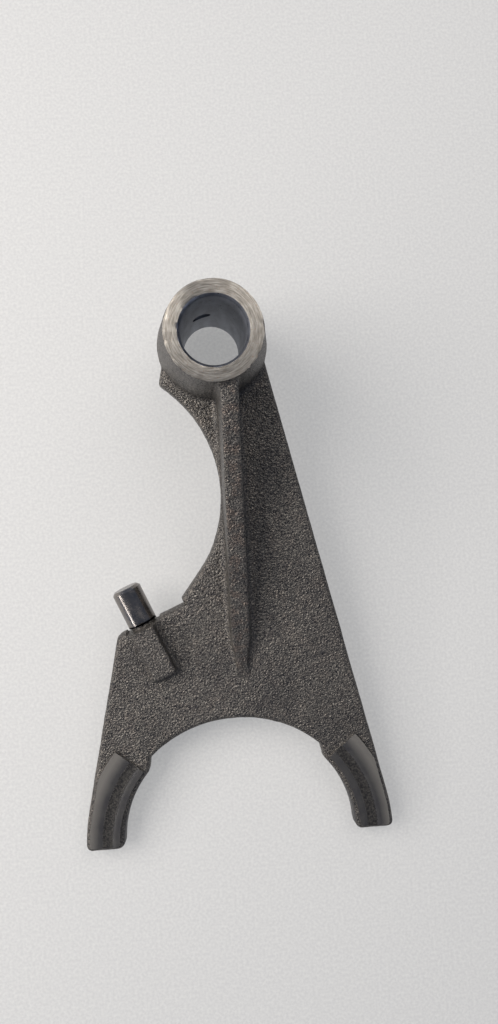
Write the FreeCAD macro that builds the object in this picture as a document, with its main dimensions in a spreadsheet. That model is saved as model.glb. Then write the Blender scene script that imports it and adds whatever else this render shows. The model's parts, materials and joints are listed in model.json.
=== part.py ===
# Reverse shift fork, one iron casting. A bored boss slides on the shift rail, a ribbed plate carries two
# fingers with machined pads round a half-round throat, and a lug on the left edge carries a turned pin.
# Units are millimetres and degrees. The fork is drawn with its bore along Z and its throat towards -Y, and is
# then laid down on the front edge of the boss and the two finger tips, as it rests on a table. The origin is
# on the bore's axis at mid plate.
import FreeCAD, Part
import Sketcher
import os
from math import sin, cos, tan, asin, acos, atan2, radians, degrees, sqrt, hypot
from FreeCAD import Vector, Placement, Rotation

os.makedirs("parts", exist_ok=True)
doc = FreeCAD.newDocument("shift_fork")

# Driving sizes. Those of the outline hold at the plate's faces; its draft makes it wider at mid thickness.
SIZES = [
    ("bore_dia", 20.0), ("bore_chamfer", 0.7), ("bore_chamfer_depth", 1.4),
    ("boss_length", 60.0), ("boss_top_radius", 14.9), ("boss_draft", 5.7), ("boss_belt_round", 1.5), ("boss_fillet", 2.0),
    ("parting_height", 25.0),
    ("centre_distance", 170.0), ("plate_thickness", 8.5), ("plate_draft", 5.0),
    ("plate_boss_radius", 15.1), ("edge_round", 1.3), ("edge_bevel", 1.0),
    ("finger_outer_radius", 53.4), ("finger_inner_radius", 40.4), ("throat_radius", 43.1),
    ("ramp_start", 41.0), ("ramp_end", 46.5), ("ramp_round", 2.0),
    ("tip_overhang", 0.1), ("tip_outer_round", 1.8), ("tip_inner_round", 2.6),
    ("clearance_radius", 45.4), ("clearance_x", -45.1), ("clearance_y", -48.9), ("clearance_end", -37.0),
    ("trim_gap", 0.03),
    ("step_x", -15.2), ("step_y", -84.4), ("step_foot_x", -14.35), ("step_foot_y", -86.5),
    ("flank_corner_round", 3.0), ("boss_corner_round", 1.5),
    ("pad_thickness", 10.0), ("pad_angle", 40.0), ("pad_end_radius", 54.0), ("pad_face_inner", 42.0),
    ("pad_face_outer", 52.2), ("pad_tip_inset", 1.2), ("pad_wall_lean", 20.0), ("pad_outer_round", 1.0),
    ("pad_inner_round", 1.5),
    ("channel_inner", 44.5), ("channel_outer", 47.9), ("channel_depth", 0.4),
    ("pin_angle", 112.6), ("pin_root_x", -28.9), ("pin_root_y", -93.3), ("pin_radius", 5.0),
    ("pin_length", 14.5), ("pin_chamfer", 0.9), ("neck_width", 1.2), ("neck_depth", 0.6),
    ("spot_width", 12.6), ("spot_reach", 6.0),
    ("lug_length", 17.5), ("lug_top_width", 7.5), ("lug_height", 9.0), ("lug_draft", 7.0),
    ("lug_corner_round", 1.2), ("lug_edge_round", 0.8), ("lug_foot", 1.3), ("lug_foot_lean", 50.0),
    ("rib_offset", 3.7), ("rib_width", 6.7), ("rib_draft", 1.5), ("rib_foot_radius", 2.2),
    ("rib_foot_sink", 0.05), ("rib_crown_round", 0.8), ("rib_root", 2.5),
    ("rib_top", 57.6), ("rib_end", 113.0), ("under_rib_top", 2.5), ("under_rib_end", 92.0),
    ("nose_length", 15.0), ("nose_angle", 10.0),
    ("cross_hole_dia", 6.3), ("cross_hole_height", 26.5), ("cross_hole_angle", 108.0),
]
sheet = doc.addObject("Spreadsheet::Sheet", "Sizes")
for row, (alias, value) in enumerate(SIZES, start=1):
    sheet.set("A%d" % row, alias)
    sheet.set("B%d" % row, str(value))
    sheet.setAlias("B%d" % row, alias)
doc.recompute()


def size(alias):
    return float(sheet.get(alias))


body = doc.addObject("PartDesign::Body", "ShiftFork")
body.Label = "shift fork"
planes = {f.Role: f for f in body.Origin.OriginFeatures}


# Helpers for plane outlines made of lines and arcs
def on_circle(centre, radius, angle):
    return (centre[0] + radius * cos(radians(angle)), centre[1] + radius * sin(radians(angle)))


def line(start, end):
    return ("line", start, end)


def arc(centre, radius, a0, a1):
    return ("arc", centre, radius, a0, a1)


def chain(points):
    return [line(points[k], points[(k + 1) % len(points)]) for k in range(len(points))]


def mirrored(path):
    result = []
    for piece in path:
        if piece[0] == "line":
            result.append(line((-piece[1][0], piece[1][1]), (-piece[2][0], piece[2][1])))
        else:
            result.append(arc((-piece[1][0], piece[1][1]), piece[2], 180 - piece[3], 180 - piece[4]))
    return result


def heading(piece, at_end):
    """Unit direction of travel at the start or the end of a piece."""
    if piece[0] == "line":
        (ax, ay), (bx, by) = piece[1], piece[2]
        length = hypot(bx - ax, by - ay)
        return ((bx - ax) / length, (by - ay) / length)
    angle = radians(piece[4] if at_end else piece[3])
    turn = 1 if piece[4] > piece[3] else -1
    return (-turn * sin(angle), turn * cos(angle))


def crossings(a, b, shift):
    """Points that lie the same distance to the left of both pieces, or to the right for a negative shift."""
    def moved(piece):
        if piece[0] == "line":
            dx, dy = heading(piece, False)
            return (piece[1][0] - dy * shift, piece[1][1] + dx * shift), (dx, dy)
        turn = 1 if piece[4] > piece[3] else -1
        return piece[1], piece[2] - turn * shift
    (p, d), (q, e) = moved(a), moved(b)
    if a[0] == b[0] == "line":
        t = ((q[0] - p[0]) * e[1] - (q[1] - p[1]) * e[0]) / (d[0] * e[1] - d[1] * e[0])
        return [(p[0] + t * d[0], p[1] + t * d[1])]
    if a[0] == b[0] == "arc":
        gap = hypot(q[0] - p[0], q[1] - p[1])
        along = (gap ** 2 + d ** 2 - e ** 2) / (2 * gap)
        half = sqrt(d ** 2 - along ** 2)
        ux, uy = (q[0] - p[0]) / gap, (q[1] - p[1]) / gap
        return [(p[0] + along * ux - k * half * uy, p[1] + along * uy + k * half * ux) for k in (-1, 1)]
    if a[0] == "arc":
        p, d, q, e = q, e, p, d
    foot = (q[0] - p[0]) * d[0] + (q[1] - p[1]) * d[1]
    off = hypot(q[0] - p[0] - foot * d[0], q[1] - p[1] - foot * d[1])
    half = sqrt(e ** 2 - off ** 2)
    return [(p[0] + (foot + k * half) * d[0], p[1] + (foot + k * half) * d[1]) for k in (-1, 1)]


def nearest_on(piece, point):
    if piece[0] == "line":
        dx, dy = heading(piece, False)
        t = (point[0] - piece[1][0]) * dx + (point[1] - piece[1][1]) * dy
        return (piece[1][0] + t * dx, piece[1][1] + t * dy)
    return on_circle(piece[1], piece[2], degrees(atan2(point[1] - piece[1][1], point[0] - piece[1][0])))


def trimmed(piece, start=None, end=None):
    if piece[0] == "line":
        return line(start or piece[1], end or piece[2])

    def angle(point, like):
        found = degrees(atan2(point[1] - piece[1][1], point[0] - piece[1][0]))
        return found + 360 * round((like - found) / 360)
    return arc(piece[1], piece[2], angle(start, piece[3]) if start else piece[3],
               angle(end, piece[4]) if end else piece[4])


def rounded(path, rounds):
    """The path with an arc at each listed corner, given as the index of the piece after it and a radius."""
    pieces, corners = list(path), {}
    for index, radius in rounds:
        a, b = pieces[index - 1], pieces[index]
        (ax, ay), (bx, by) = heading(a, True), heading(b, False)
        side = 1 if ax * by - ay * bx > 0 else -1
        corner = b[1] if b[0] == "line" else on_circle(b[1], b[2], b[3])
        centre = min(crossings(a, b, side * radius), key=lambda c: hypot(c[0] - corner[0], c[1] - corner[1]))
        first, last = nearest_on(a, centre), nearest_on(b, centre)
        a0 = degrees(atan2(first[1] - centre[1], first[0] - centre[0]))
        a1 = degrees(atan2(last[1] - centre[1], last[0] - centre[0]))
        a1 = a0 + side * ((side * (a1 - a0)) % 360)
        pieces[index - 1] = trimmed(a, end=first)
        pieces[index] = trimmed(b, start=last)
        corners[index] = arc(centre, radius, a0, a1)
    result = []
    for index, piece in enumerate(pieces):
        if index in corners:
            result.append(corners[index])
        result.append(piece)
    return result


# Helpers for sketches and features
def level(z, x=0.0, y=0.0, turn=0.0):
    return Placement(Vector(x, y, z), Rotation(Vector(0, 0, 1), turn))


def sketch_on(role, name, offset=None):
    sketch = body.newObject("Sketcher::SketchObject", name)
    sketch.AttachmentSupport = [(planes[role], "")]
    sketch.MapMode = "FlatFace"
    if offset is not None:
        sketch.AttachmentOffset = offset
    return sketch


def draw(sketch, *paths):
    """Adds closed paths of lines and arcs, joined end to end."""
    drawn = []
    for path in paths:
        ids, ends = [], []
        for piece in path:
            if piece[0] == "line":
                shape = Part.LineSegment(Vector(*piece[1], 0), Vector(*piece[2], 0))
                ends.append((1, 2))
            else:
                _, centre, radius, a0, a1 = piece
                shape = Part.Arc(*(Vector(*on_circle(centre, radius, a), 0) for a in (a0, (a0 + a1) / 2, a1)))
                ends.append((1, 2) if a1 > a0 else (2, 1))
            ids.append(sketch.addGeometry(shape, False))
        for i in range(len(ids)):
            j = (i + 1) % len(ids)
            sketch.addConstraint(Sketcher.Constraint("Coincident", ids[i], ends[i][1], ids[j], ends[j][0]))
        drawn.append(ids)
    return drawn


def feature(kind, name, links=None, **props):
    """Adds a feature; links ties its sizes to expressions in the sheet."""
    item = body.newObject("PartDesign::" + kind, name)
    for key, value in props.items():
        setattr(item, key, value)
    for key, expression in (links or {}).items():
        item.setExpression(key, expression)
    doc.recompute()
    if "Invalid" in item.State or "Error" in item.State or item.Shape.isNull() or not item.Shape.isValid():
        raise RuntimeError("%s did not build: %s" % (name, item.State))
    print("%-16s %10.1f mm3 %4d faces" % (name, item.Shape.Volume, len(item.Shape.Faces)))
    return item


def edges_where(shape, test):
    names = []
    for i, edge in enumerate(shape.Edges, start=1):
        first, last = edge.ParameterRange
        if test(edge, edge.valueAt((first + last) / 2)):
            names.append("Edge%d" % i)
    return names


def along(edge, count=7):
    first, last = edge.ParameterRange
    return [edge.valueAt(first + (last - first) * k / (count - 1)) for k in range(count)]


# Places that several features share
sleeve = (0.0, -size("centre_distance"))
mid = size("parting_height")
half_plate, half_pad = size("plate_thickness") / 2, size("pad_thickness") / 2
tip_y = sleeve[1] - size("tip_overhang")
beyond = 1.0  # how far a cutting outline passes the face that it opens
bite = 0.5  # how far an added form reaches into what carries it
lean = degrees(asin((size("finger_outer_radius") - size("plate_boss_radius")) / size("centre_distance")))
pin_way = (cos(radians(size("pin_angle"))), sin(radians(size("pin_angle"))))
SIDES = (("Upper", 1), ("Lower", -1))


def sleeve_angle(radius, y):
    """Angle round the sleeve at which a circle of this radius has this height."""
    return degrees(asin((y - sleeve[1]) / radius))


# Plate outline: two lines that touch a circle round the bore and one round the sleeve, less a clearance arc
# on the left, the flank below it that the pin stands on, and the throat with the inner walls of the pads
def plate_outline():
    outer, inner, throat = size("finger_outer_radius"), size("finger_inner_radius"), size("throat_radius")
    hub, reach = size("plate_boss_radius"), size("clearance_radius")
    low_ramp, high_ramp = size("ramp_start"), size("ramp_end")
    clear = (size("clearance_x"), size("clearance_y"))
    edge = (-cos(radians(lean)), sin(radians(lean)))
    gap = hub - edge[0] * clear[0] - edge[1] * clear[1]
    half = sqrt(reach ** 2 - gap ** 2)
    begin = (clear[0] + edge[0] * gap + half * edge[1], clear[1] + edge[1] * gap - half * edge[0])
    begin_angle = degrees(atan2(begin[1] - clear[1], begin[0] - clear[0]))
    step, foot = (size("step_x"), size("step_y")), (size("step_foot_x"), size("step_foot_y"))
    across = (pin_way[1], -pin_way[0])
    along = (hub - edge[0] * foot[0] - edge[1] * foot[1]) / (edge[0] * across[0] + edge[1] * across[1])
    left = (foot[0] + along * across[0], foot[1] + along * across[1])
    right_top, right_low = on_circle((0, 0), hub, lean), on_circle(sleeve, outer, lean)
    drop, drop_in = -sleeve_angle(outer, tip_y), -sleeve_angle(inner, tip_y)
    path = [
        line(right_top, right_low),
        arc(sleeve, outer, lean, -drop),
        line(on_circle(sleeve, outer, -drop), on_circle(sleeve, inner, -drop_in)),
        arc(sleeve, inner, -drop_in, low_ramp),
        line(on_circle(sleeve, inner, low_ramp), on_circle(sleeve, throat, high_ramp)),
        arc(sleeve, throat, high_ramp, 180 - high_ramp),
        line(on_circle(sleeve, throat, 180 - high_ramp), on_circle(sleeve, inner, 180 - low_ramp)),
        arc(sleeve, inner, 180 - low_ramp, 180 + drop_in),
        line(on_circle(sleeve, inner, 180 + drop_in), on_circle(sleeve, outer, 180 + drop)),
        arc(sleeve, outer, 180 + drop, 180 - lean),
        line((-right_low[0], right_low[1]), left),
        line(left, foot),
        line(foot, step),
        line(step, on_circle(clear, reach, size("clearance_end"))),
        arc(clear, reach, size("clearance_end"), begin_angle),
        line(begin, (-right_top[0], right_top[1])),
        arc((0, 0), hub, 180 - lean, lean),
    ]
    tip_out, tip_in, ramp = size("tip_outer_round"), size("tip_inner_round"), size("ramp_round")
    return rounded(path, [(2, tip_out), (3, tip_in), (4, ramp), (5, ramp), (6, ramp), (7, ramp), (8, tip_in),
                          (9, tip_out), (11, size("flank_corner_round")), (15, size("boss_corner_round"))])


for side, sign in SIDES:
    outline = sketch_on("XY_Plane", "Outline" + side, level(mid + sign * half_plate))
    draw(outline, plate_outline())
    plate = feature("Pad", "Plate" + side, Profile=outline, Length=half_plate, Reversed=sign > 0,
                    links={"Length": "Sizes.plate_thickness / 2", "TaperAngle": "Sizes.plate_draft"})



def face_edges(shape, z):
    return edges_where(shape, lambda e, p: all(abs(q.z - z) < 1e-4 for q in (p, e.Vertexes[0].Point)))


names = face_edges(plate.Shape, mid + half_plate)
edge_round = feature("Fillet", "PlateEdges", Base=(plate, names), links={"Radius": "Sizes.edge_round"})
names = face_edges(edge_round.Shape, mid - half_plate)
bevel = feature("Chamfer", "PlateBevel", Base=(edge_round, names), links={"Size": "Sizes.edge_bevel"})


# Ribs: a drafted section with hollow feet, padded out from the boss. At its end the two halves of the section
# lean in to a nose, and a straight slope then cuts the rib down from the boss to the plate.
def rib_section(sign, height, halves=(-1, 1)):
    """Outline of the whole rib, or of its left or right half, at one distance from the bore."""
    foot, sink = size("rib_foot_radius"), size("rib_foot_sink")
    base, draft = size("rib_width") / 2, tan(radians(size("rib_draft")))
    flank = [(base + foot, -half_plate / 2), (base + foot, -sink), (base + sink * draft, -sink),
             (base - height * draft, height)]
    points = [(-x, z) for x, z in flank] + [(x, z) for x, z in reversed(flank)]
    rounds = [(2, foot), (5, foot)]
    if halves == (-1,):
        points, rounds = points[:4] + [(0, height), (0, -half_plate / 2)], [(2, foot)]
    elif halves == (1,):
        points, rounds = [(0, -half_plate / 2), (0, height)] + points[4:], [(3, foot)]
    points = [(size("rib_offset") + x, mid + sign * (half_plate + z)) for x, z in points]
    return rounded(chain(points), rounds)


def crown_edges(shape, sign, start, end, fall):
    """The long edges of the crown, where the slope cut meets the flanks, down to the flare of the feet."""
    def on_slope(point):
        height = sign * (point.z - mid) - half_plate
        return abs(height - (end + point.y) * fall) < 1e-3 and height > size("rib_foot_radius") / 2
    return edges_where(shape, lambda e, p: all(on_slope(q) for q in along(e))
                       and abs(e.Vertexes[0].Point.y - e.Vertexes[-1].Point.y) > 1 and e.Length > 5)


RIBS = (("Upper", 1, "rib_top", "rib_end"), ("Lower", -1, "under_rib_top", "under_rib_end"))
for side, sign, top, end in RIBS:
    face, end = mid + sign * half_plate, size(end)
    fall = sign * (size(top) - face) / (end - size("boss_top_radius"))
    start, nose = size("boss_top_radius") - size("rib_root"), end - size("nose_length")
    height = (end - start) * fall
    section = sketch_on("XZ_Plane", "RibSection" + side, level(start))
    draw(section, rib_section(sign, height))
    rib = feature("Pad", "Rib" + side, Profile=section, Length=nose - start)
    for name, half, way in (("Left", (-1,), 1), ("Right", (1,), -1)):
        section = sketch_on("XZ_Plane", "Nose" + name + side, level(nose))
        draw(section, rib_section(sign, (end - nose) * fall, half))
        lean_in = radians(size("nose_angle"))
        rib = feature("Pad", "Nose" + name + side + "Pad", Profile=section, UseCustomVector=True,
                      Direction=Vector(way * sin(lean_in), -cos(lean_in), 0), Length=size("nose_length"))
    slope = sketch_on("YZ_Plane", "Slope" + side, level(size("centre_distance") / 4))
    high = face + sign * height
    draw(slope, chain([(-start, high), (-end, face), (-end - size("nose_length"), face),
                       (-end - size("nose_length"), high + sign), (-start, high + sign)]))
    rib = feature("Pocket", "RibSlope" + side, Profile=slope, Length=size("centre_distance") / 2)
    names = crown_edges(rib.Shape, sign, start, end, fall)
    kind, link = ("Fillet", "Radius") if sign > 0 else ("Chamfer", "Size")
    rib = feature(kind, "RibCrown" + side, Base=(rib, names), links={link: "Sizes.rib_crown_round"})


# Boss: two cones that meet in the parting line at mid plate
def boss_profile():
    slope = tan(radians(size("boss_draft")))
    top, height = size("boss_top_radius"), size("boss_length")
    belt = top + (height - mid) * slope
    corners = chain([(0, 0), (belt - mid * slope, 0), (belt, mid), (top, height), (0, height)])
    return rounded(corners, [(2, size("boss_belt_round"))])


profile = sketch_on("XZ_Plane", "BossProfile")
draw(profile, boss_profile())
boss = feature("Revolution", "Boss", Profile=profile, ReferenceAxis=(profile, ["V_Axis"]), Angle=360)


# The ribs' feet are flush with the plate where the clearance arc comes close to them: a cylinder just inside
# the arc's wall takes off what stands over it
for side, sign in SIDES:
    low = half_plate / 2
    drawn_in = (half_plate - low) * tan(radians(size("plate_draft")))
    wall = size("clearance_radius") - drawn_in - size("trim_gap")
    cut = sketch_on("XY_Plane", "RibTrim" + side, level(mid + sign * low))
    centre = Vector(size("clearance_x"), size("clearance_y"), 0)
    cut.addGeometry(Part.Circle(centre, Vector(0, 0, 1), wall), False)
    trim = feature("Pocket", "Trim" + side, Profile=cut, Length=size("boss_length"), Reversed=sign > 0)


# Hollow fillet between the boss and what grows out of it
def boss_radius(z):
    slope = tan(radians(size("boss_draft")))
    belt = size("boss_top_radius") + (size("boss_length") - mid) * slope
    return belt - abs(z - mid) * slope


def on_boss(edge):
    """Whether an edge lies on the boss's side, in front of the bore and clear of the boss's ends."""
    spots = along(edge)
    return (all(abs(hypot(q.x, q.y) - boss_radius(q.z)) < 0.35 for q in spots)
            and max(q.y for q in spots) < -size("bore_dia") / 4
            and all(0.5 < q.z < size("boss_length") - 0.5 for q in spots))


names = edges_where(trim.Shape, lambda e, p: on_boss(e))
blend = feature("Fillet", "BossBlend", Base=(trim, names), links={"Radius": "Sizes.boss_fillet"})


# Lug behind the pin, drafted on both sides of mid plate; its front is then milled flat with the flank
root = (size("pin_root_x"), size("pin_root_y"))
half_lug = size("lug_top_width") / 2
for side, sign in SIDES:
    outline = sketch_on("XY_Plane", "Lug" + side,
                        level(mid + sign * size("lug_height"), root[0], root[1], size("pin_angle")))
    back = -size("lug_length")
    corners = chain([(beyond, -half_lug), (beyond, half_lug), (back, half_lug), (back, -half_lug)])
    draw(outline, rounded(corners, [(2, size("lug_corner_round")), (3, size("lug_corner_round"))]))
    lug = feature("Pad", "Lug" + side, Profile=outline, Length=size("lug_height"), Reversed=sign > 0,
                  links={"Length": "Sizes.lug_height", "TaperAngle": "Sizes.lug_draft"})


# The lug's foot on the upper side
for side, sign in SIDES[:1]:
    rise = half_plate + size("lug_foot")
    grown = (size("lug_height") - rise) * tan(radians(size("lug_draft")))
    outline = sketch_on("XY_Plane", "LugFoot" + side, level(mid + sign * rise, *root, size("pin_angle")))
    back, wide = -size("lug_length") - grown, half_lug + grown
    corners = chain([(0, -wide), (0, wide), (back, wide), (back, -wide)])
    draw(outline, rounded(corners, [(2, size("lug_corner_round")), (3, size("lug_corner_round"))]))
    lug = feature("Pad", "LugBase" + side, Profile=outline, Length=size("lug_foot") + bite, Reversed=sign > 0,
                  links={"TaperAngle": "Sizes.lug_foot_lean"})


def near_root(point, reach):
    dx, dy = point.x - root[0], point.y - root[1]
    along_pin, across_pin = dx * pin_way[0] + dy * pin_way[1], dx * pin_way[1] - dy * pin_way[0]
    return -size("lug_length") - reach < along_pin < 2 * beyond and abs(across_pin) < half_lug + reach


def lug_edges(shape, z, reach):
    return edges_where(shape, lambda e, p: near_root(p, reach) and all(abs(q.z - z) < 1e-3 for q in along(e)))


names = lug_edges(lug.Shape, mid + size("lug_height"), bite)
lug = feature("Fillet", "LugEdges", Base=(lug, names), links={"Radius": "Sizes.lug_edge_round"})
names = lug_edges(lug.Shape, mid - size("lug_height"), bite)
lug = feature("Chamfer", "LugBevel", Base=(lug, names), links={"Size": "Sizes.lug_edge_round"})


# Spot milled across the lug's front and the plate's flank, then the turned pin with its neck
for side, sign in SIDES:
    outline = sketch_on("XY_Plane", "Spot" + side, level(mid, root[0], root[1], size("pin_angle")))
    half_spot = size("spot_width") / 2
    draw(outline, chain([(0, -half_spot), (size("spot_reach"), -half_spot), (size("spot_reach"), half_spot),
                         (0, half_spot)]))
    spot = feature("Pocket", "Milled" + side, Profile=outline, Reversed=sign > 0,
                   Length=size("lug_height") + beyond)


def pin_profile():
    radius, neck = size("pin_radius"), size("pin_radius") - size("neck_depth")
    end, edge = size("pin_length"), size("pin_chamfer")
    points = [(-bite, 0), (end, 0), (end, radius - edge), (end - edge, radius), (size("neck_width"), radius),
              (size("neck_width"), neck), (-bite, neck)]
    return chain(points)


profile = sketch_on("XY_Plane", "PinProfile", level(mid, root[0], root[1], size("pin_angle")))
draw(profile, pin_profile())
pin = feature("Revolution", "Pin", Profile=profile, ReferenceAxis=(profile, ["H_Axis"]), Angle=360)


# Pads: milled flats that stand proud of the finger, with a radial end step and a sunk channel
def pad_face():
    inner, outer, ring = size("pad_face_inner"), size("pad_face_outer"), size("pad_end_radius")
    y, turn = tip_y + size("pad_tip_inset"), size("pad_angle")
    meet = lean + degrees(acos(outer / ring))
    low_out, low_in = sleeve_angle(outer, y), sleeve_angle(inner, y)
    path = [
        arc(sleeve, outer, lean, low_out),
        line(on_circle(sleeve, outer, low_out), on_circle(sleeve, inner, low_in)),
        arc(sleeve, inner, low_in, turn),
        line(on_circle(sleeve, inner, turn), on_circle(sleeve, ring, turn)),
        arc(sleeve, ring, turn, meet),
        line(on_circle(sleeve, ring, meet), on_circle(sleeve, outer, lean)),
    ]
    return rounded(path, [(1, size("pad_outer_round")), (2, size("pad_inner_round"))])


for side, sign in SIDES:
    outline = sketch_on("XY_Plane", "PadFace" + side, level(mid + sign * half_pad))
    draw(outline, pad_face(), mirrored(pad_face()))
    pads = feature("Pad", "Pads" + side, Profile=outline, Reversed=sign > 0,
                   Length=half_pad - half_plate + bite, links={"TaperAngle": "Sizes.pad_wall_lean"})


def channel():
    inner, outer = size("channel_inner"), size("channel_outer")
    turn = size("pad_angle") + degrees(beyond / inner)
    low_in, low_out = sleeve_angle(inner, tip_y - beyond), sleeve_angle(outer, tip_y - beyond)
    return [
        line(on_circle(sleeve, outer, low_out), on_circle(sleeve, inner, low_in)),
        arc(sleeve, inner, low_in, turn),
        line(on_circle(sleeve, inner, turn), on_circle(sleeve, outer, turn)),
        arc(sleeve, outer, turn, low_out),
    ]


for side, sign in SIDES:
    outline = sketch_on("XY_Plane", "Channel" + side, level(mid + sign * half_pad))
    draw(outline, channel(), mirrored(channel()))
    groove = feature("Pocket", "Channels" + side, Profile=outline, Length=size("channel_depth"),
                     Reversed=sign < 0, links={"Length": "Sizes.channel_depth"})


# Bore with a chamfer at each mouth, and the cross hole through the wall away from the plate
def bore_profile():
    radius, height = size("bore_dia") / 2, size("boss_length")
    wide, deep = radius + size("bore_chamfer"), size("bore_chamfer_depth")
    return chain([(0, -beyond), (wide, -beyond), (wide, 0), (radius, deep), (radius, height - deep),
                  (wide, height), (wide, height + beyond), (0, height + beyond)])


profile = sketch_on("XZ_Plane", "BoreProfile")
draw(profile, bore_profile())
bore = feature("Groove", "Bore", Profile=profile, ReferenceAxis=(profile, ["V_Axis"]), Angle=360)

way = Vector(cos(radians(size("cross_hole_angle"))), sin(radians(size("cross_hole_angle"))), 0)
cut = sketch_on("XY_Plane", "CrossHoleSketch",
                Placement(Vector(0, 0, size("cross_hole_height")), Rotation(Vector(0, 0, 1), way)))
circle = cut.addGeometry(Part.Circle(Vector(0, 0, 0), Vector(0, 0, 1), size("cross_hole_dia") / 2), False)
index = cut.addConstraint(Sketcher.Constraint("Diameter", circle, size("cross_hole_dia")))
cut.setExpression("Constraints[%d]" % index, "Sizes.cross_hole_dia")
hole = feature("Pocket", "CrossHole", Profile=cut, Length=size("boss_length") / 2, Reversed=True)


# Laid down: the front edge of the boss and the undersides of both finger tips touch the table
boss_low_radius = boss_radius(0)
tip_reach = -(tip_y + size("pad_tip_inset"))
tilt = degrees(atan2(mid - half_pad, tip_reach - boss_low_radius))
turned = Rotation(Vector(1, 0, 0), tilt)
body.Placement = Placement(-turned.multVec(Vector(0, 0, mid)), turned)
doc.recompute()

for item in doc.Objects:
    if "Invalid" in item.State or "Error" in item.State:
        raise RuntimeError("%s is %s" % (item.Name, item.State))
shape = body.Shape
if shape.isNull() or not shape.isValid() or len(shape.Solids) != 1:
    raise RuntimeError("the fork is not one valid solid")
print("tilt %.3f" % tilt, shape.BoundBox)
shape.exportStep("parts/shift_fork.step")
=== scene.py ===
"""Looks of a cast iron gearbox shift fork: its as-cast skin, its machined faces and the studio round it."""
import json
import math

import bmesh
import bpy
import numpy as np
from mathutils import Matrix, Vector


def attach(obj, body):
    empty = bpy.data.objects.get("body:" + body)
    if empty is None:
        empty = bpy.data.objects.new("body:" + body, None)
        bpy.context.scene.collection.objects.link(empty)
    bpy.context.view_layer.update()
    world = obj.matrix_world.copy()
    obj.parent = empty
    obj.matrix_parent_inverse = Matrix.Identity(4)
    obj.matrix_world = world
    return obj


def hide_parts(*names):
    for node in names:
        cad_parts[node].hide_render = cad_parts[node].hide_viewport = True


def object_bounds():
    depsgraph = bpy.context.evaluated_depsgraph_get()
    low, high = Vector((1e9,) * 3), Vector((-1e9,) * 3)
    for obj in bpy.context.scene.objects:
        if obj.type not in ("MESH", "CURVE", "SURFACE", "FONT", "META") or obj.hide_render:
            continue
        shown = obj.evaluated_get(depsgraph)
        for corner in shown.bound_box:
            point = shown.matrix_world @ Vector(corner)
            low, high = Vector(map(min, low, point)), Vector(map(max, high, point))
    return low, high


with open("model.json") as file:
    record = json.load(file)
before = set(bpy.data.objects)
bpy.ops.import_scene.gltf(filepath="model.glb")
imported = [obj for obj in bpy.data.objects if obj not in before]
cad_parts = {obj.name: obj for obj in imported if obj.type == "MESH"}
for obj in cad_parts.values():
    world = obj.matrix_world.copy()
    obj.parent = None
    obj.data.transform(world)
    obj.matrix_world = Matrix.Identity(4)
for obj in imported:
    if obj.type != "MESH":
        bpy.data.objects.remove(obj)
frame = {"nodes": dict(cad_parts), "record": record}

bl_info = {
    "name": "Shift fork",
    "version": (1, 0, 0),
    "blender": (4, 5, 0),
    "location": "View3D > Sidebar > Shift Fork",
    "description": "Dresses the packed shift fork: cast skin, machined faces, floor, light and camera",
    "category": "Object",
}

NODE = "shift_fork"
BODY = "root"
PIECE = "fork_casting"
MM = 0.001
CAD_BOX = [list(corner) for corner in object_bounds()]


# The fork's own frame, read from the record: Z up the bore, -Y to the fingers, lengths in millimetres
def mount(name):
    """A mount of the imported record, by its name."""
    return next(m for m in frame["record"]["mounts"] if m["name"] == name)


BORE_AXIS = Vector(mount("bore")["axis"]).normalized()
FORK_X = Vector((1.0, 0.0, 0.0))
FORK_TURN = Matrix((FORK_X, BORE_AXIS.cross(FORK_X).normalized(), BORE_AXIS))
TURN = np.array(FORK_TURN)


def fork_point(name):
    """A mount's place, as millimetres in the fork's own frame."""
    return TURN @ (np.array(mount(name)["pos_m"]) - np.array(mount("bore")["pos_m"])) / MM


def fork_way(name):
    """A mount's axis in the fork's own frame."""
    way = TURN @ np.array(mount(name)["axis"])
    return way / np.linalg.norm(way)


def mount_radius(name):
    """A round mount's radius in millimetres."""
    return mount(name)["dims"]["r_mm"]


# Finishes of the casting, in the order of its material slots
SKIN, TURNED, BORED, GROUND, PIN = range(5)

# Limits for the part of a face's normal that lies along an axis: end faces, the bore with its chamfers, the
# cross hole's wall, pads with their rounded rims, and the pin's side
END_FACE, BORE_WALL, HOLE_WALL, PAD_FACE, PIN_SIDE = 0.99, 0.95, 0.3, 0.6, 0.9

# Places on the casting, in millimetres and degrees: the slack with which a face is matched to a place, the
# end faces in bore radii, the bore's chamfer, the throat's axis, the pads and their channels, and the pin's
# root
NEAR = 0.12
RING_REACH, BORE_CHAMFER = 1.8, 0.75
THROAT_CENTRE = (0.0, -170.0)
PAD_TURN, PAD_WALL, PAD_REACH = 40.6, 41.6, 54.2
CHANNEL_INNER, CHANNEL_OUTER, CHANNEL_DEPTH = 44.5, 47.9, 0.4
PIN_ROOT = -mount("pin")["dims"]["length_mm"] / 2
PIN_SINK, GROOVE_WIDTH, PIN_FOOT = 0.2, 0.6, 1.5

# Crown of the upper rib, in millimetres: middle, half width, upper and lower end and how far each fades;
# then the crown's place and height at the nose, its slope, and how far down its flanks it counts
CROWN_MIDDLE, CROWN_HALF, CROWN_FADE = 3.7, 2.4, 0.7
CROWN_UPPER, CROWN_UPPER_FADE, CROWN_LOWER, CROWN_LOWER_FADE = -14.0, 3.0, -112.0, 6.0
NOSE_PLACE, NOSE_HEIGHT, CROWN_SLOPE, CROWN_DEPTH = -113.0, 4.25, 28.35 / 98.1, 1.2

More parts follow.
